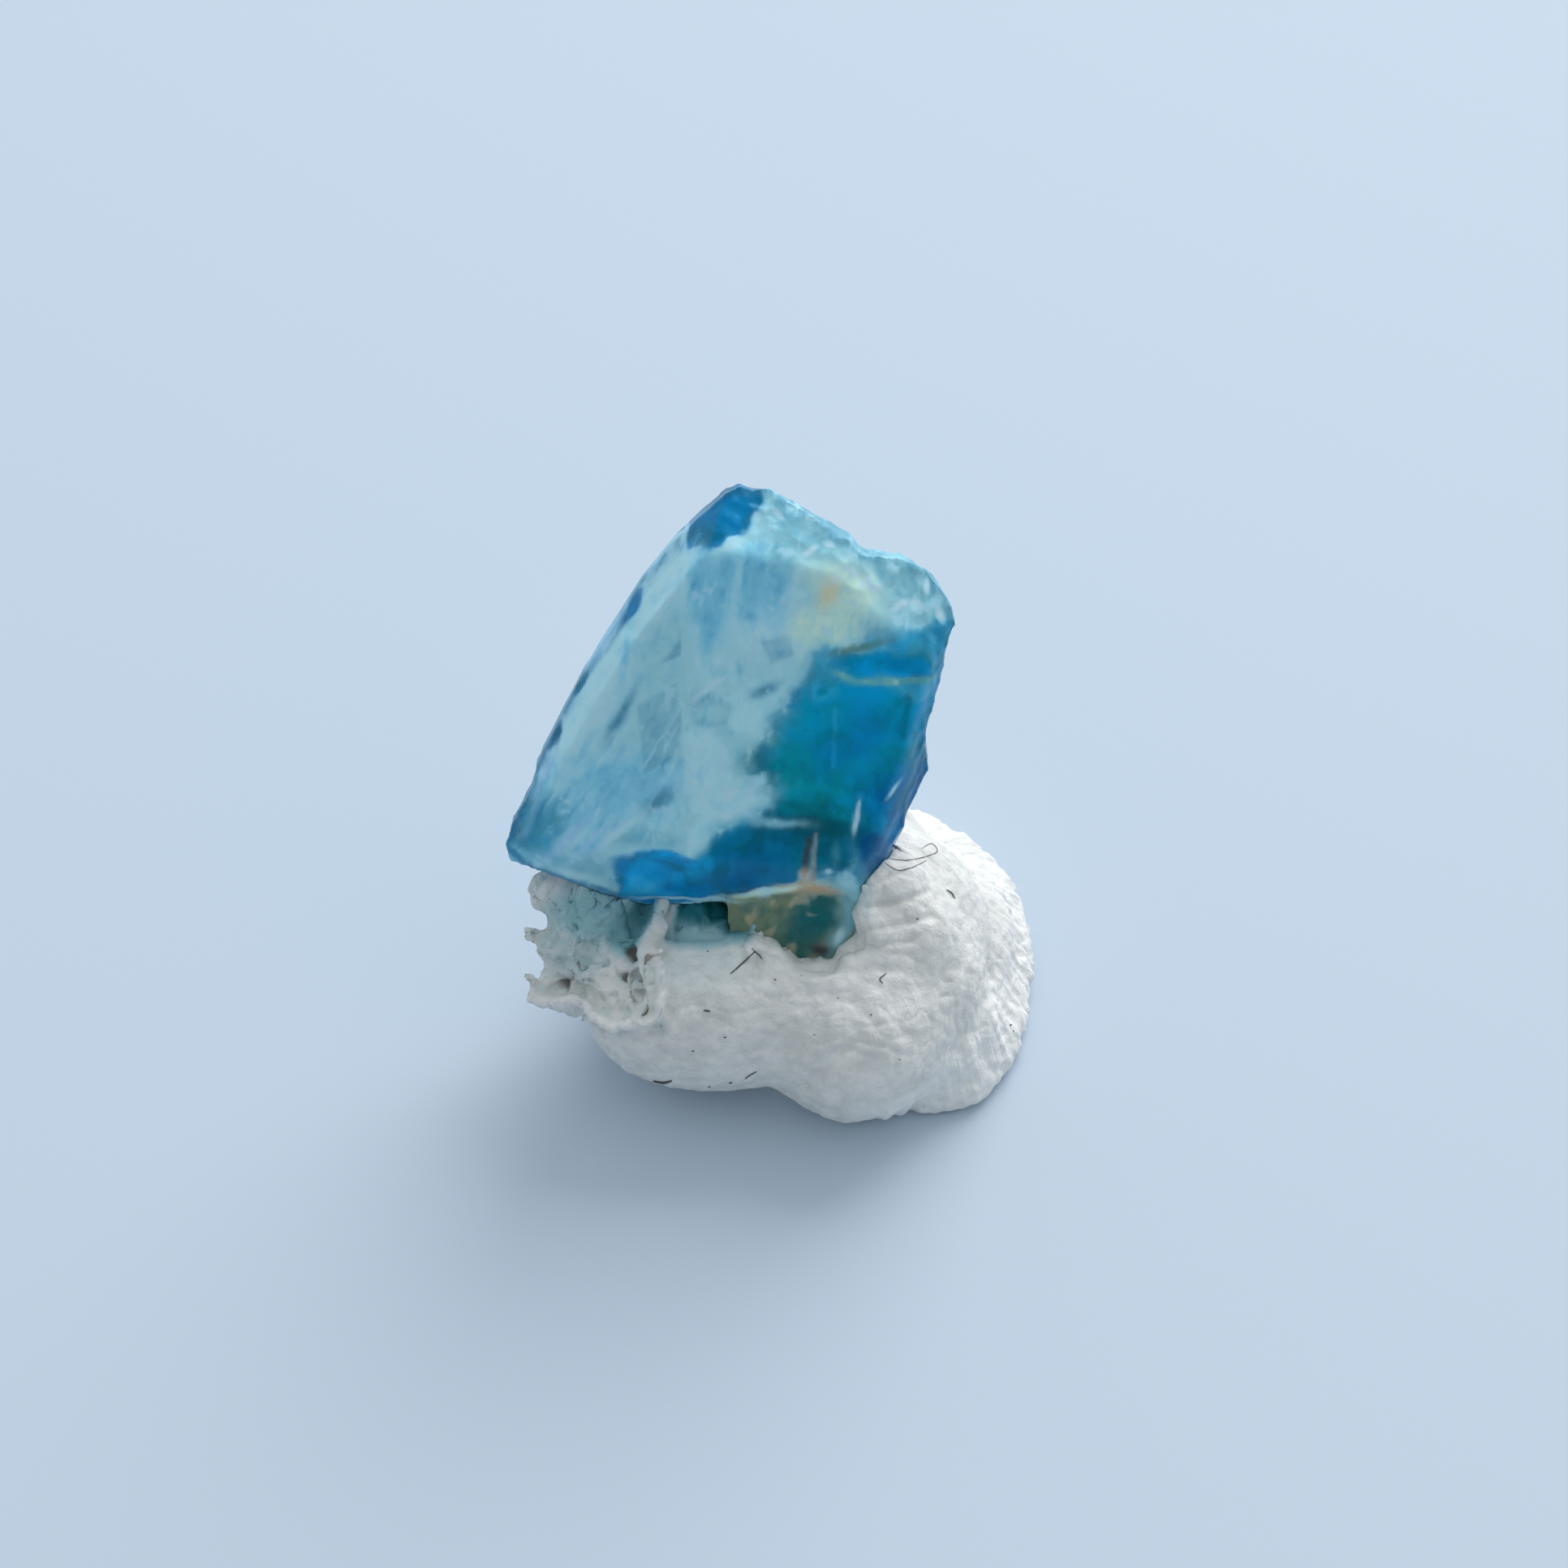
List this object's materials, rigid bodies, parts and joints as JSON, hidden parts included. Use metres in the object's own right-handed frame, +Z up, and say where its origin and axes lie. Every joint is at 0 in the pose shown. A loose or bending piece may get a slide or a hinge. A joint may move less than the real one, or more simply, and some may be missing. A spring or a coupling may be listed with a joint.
{
  "type": "euclase crystal fragment in mounting putty",
  "caption": "Translucent blue euclase cleavage fragment standing tilted in a kneaded wad of white mounting putty with a torn side and a fluted skirt.",
  "frame": {"origin": "on the surface that the putty stands on, under the middle of the whole object's box", "axes": "+Z up, +X to the viewer's right, -Y towards the viewer of the broad crystal face"},
  "size_m": [0.011, 0.0092, 0.0111],
  "materials": {
    "euclase": "glossy, cloudy in places",
    "putty": "matt"
  },
  "bodies": {
    "root": {"euclase_crystal": "euclase", "putty_mount": "putty"}
  },
  "joints": []
}
